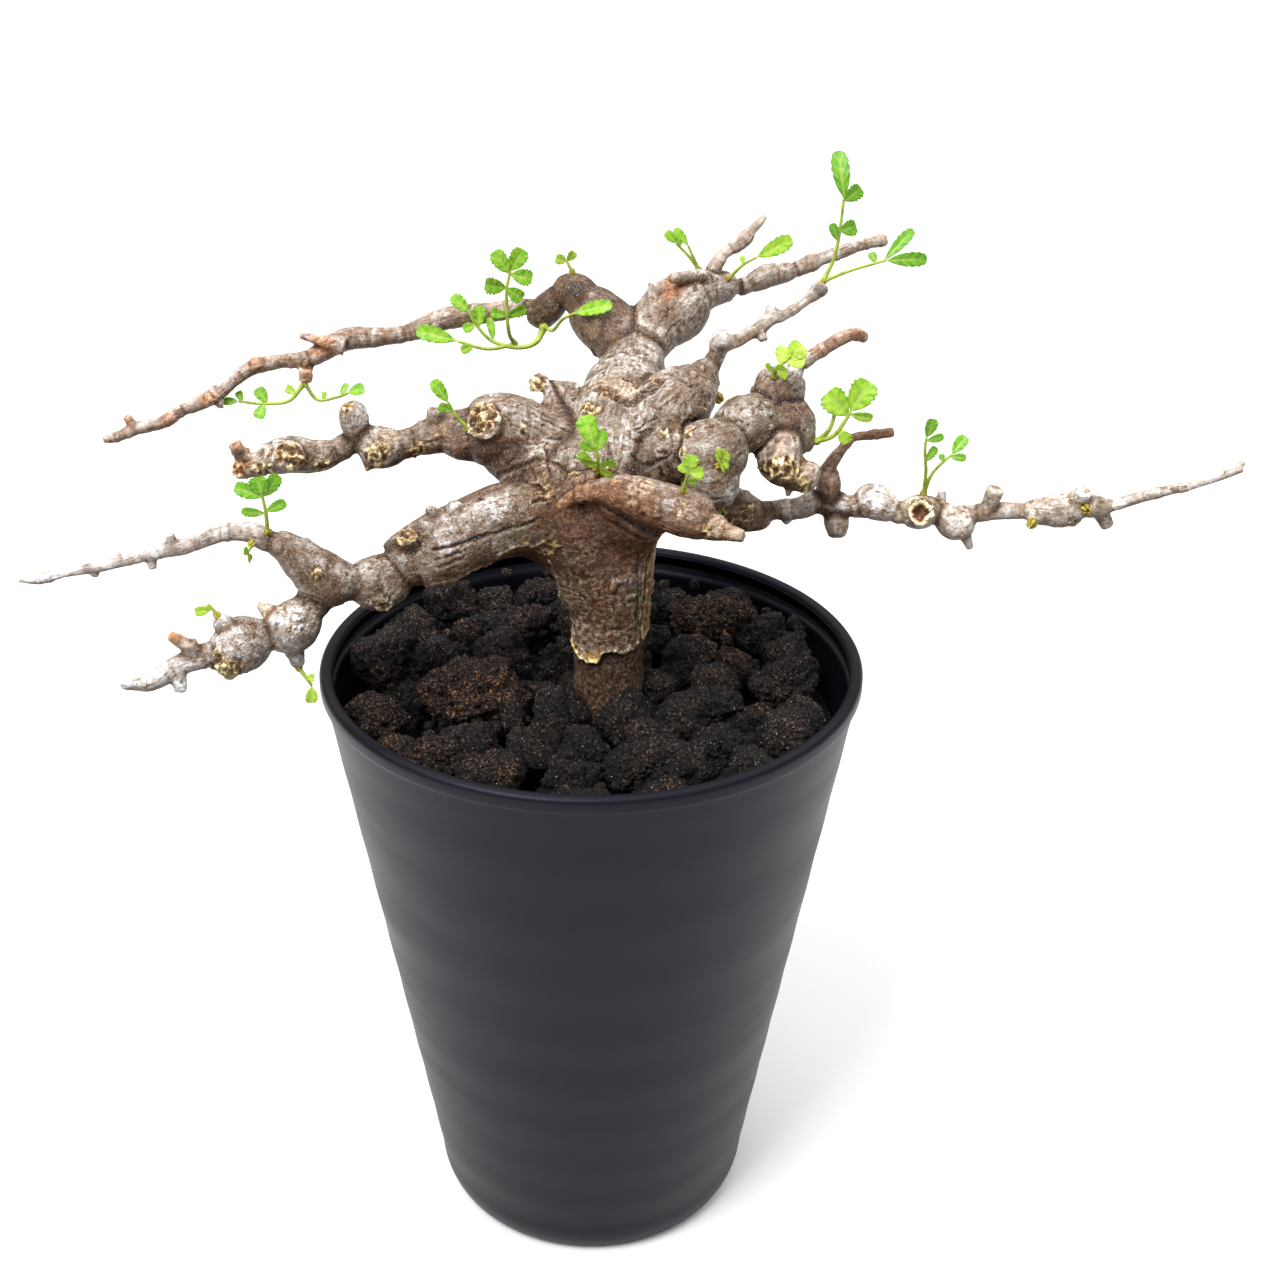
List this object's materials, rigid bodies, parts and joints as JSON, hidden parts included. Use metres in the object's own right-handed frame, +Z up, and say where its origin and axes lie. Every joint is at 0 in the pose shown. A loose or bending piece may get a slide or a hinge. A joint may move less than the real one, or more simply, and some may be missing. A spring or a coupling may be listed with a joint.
{
  "type": "potted commiphora",
  "caption": "Small commiphora with swollen, beaded grey limbs and new green shoots, standing in lava gravel in a tapered black plastic pot.",
  "frame": {"origin": "middle of the pot's underside", "axes": "+Z up along the pot's axis, +X to the right and +Y to the back as the plant's front is seen"},
  "size_m": [0.226, 0.1239, 0.2156],
  "materials": {
    "black_plastic": "satin",
    "lava": "matte",
    "bark": "matte",
    "green_leaf": "satin"
  },
  "bodies": {
    "root": {"gravel": "lava", "lava_stone_01": "lava", "lava_stone_02": "lava", "lava_stone_03": "lava", "lava_stone_04": "lava", "lava_stone_05": "lava", "lava_stone_06": "lava", "lava_stone_07": "lava", "lava_stone_08": "lava", "lava_stone_09": "lava", "lava_stone_10": "lava", "lava_stone_11": "lava", "lava_stone_12": "lava", "lava_stone_13": "lava", "lava_stone_14": "lava", "pot": "black_plastic", "shoot_back_knob": "green_leaf", "shoot_back_left": "green_leaf", "shoot_back_low": "green_leaf", "shoot_bead": "green_leaf", "shoot_bead_foot": "green_leaf", "shoot_bead_tip": "green_leaf", "shoot_crown_front": "green_leaf", "shoot_curled_bud": "green_leaf", "shoot_fork_left": "green_leaf", "shoot_fork_right": "green_leaf", "shoot_front_limb": "green_leaf", "shoot_left_middle": "green_leaf", "shoot_left_twig": "green_leaf", "shoot_low_bead": "green_leaf", "shoot_right_limb": "green_leaf", "shoot_twig_tip": "green_leaf", "shoot_under_left_twig": "green_leaf", "wood": "bark"}
  },
  "joints": []
}
